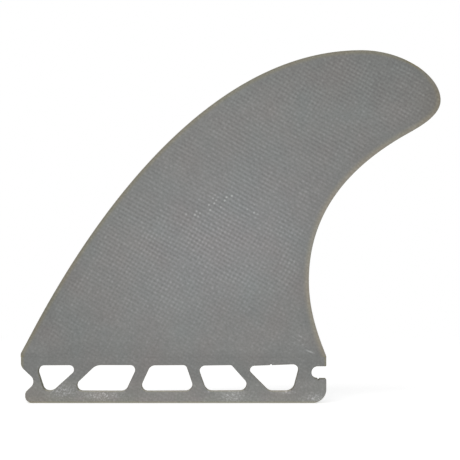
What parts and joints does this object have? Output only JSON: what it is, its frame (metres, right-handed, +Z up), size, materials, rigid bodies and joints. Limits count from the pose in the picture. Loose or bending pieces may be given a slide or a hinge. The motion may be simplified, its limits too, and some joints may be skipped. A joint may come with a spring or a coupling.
{
  "type": "surfboard fin",
  "caption": "Raked surfboard fin of solid glass laminate, with a symmetric foil and a windowed box tab.",
  "frame": {"origin": "middle of the tab's lower face, the end of the fin that goes deepest into the board", "axes": "+Z up the blade, away from the board; +X towards the tail, the way the tip rakes; Y across the fin"},
  "size_m": [0.1593, 0.0072, 0.1338],
  "materials": {
    "grey_laminate": "satin"
  },
  "bodies": {
    "root": {"fin": "grey_laminate"}
  },
  "joints": []
}
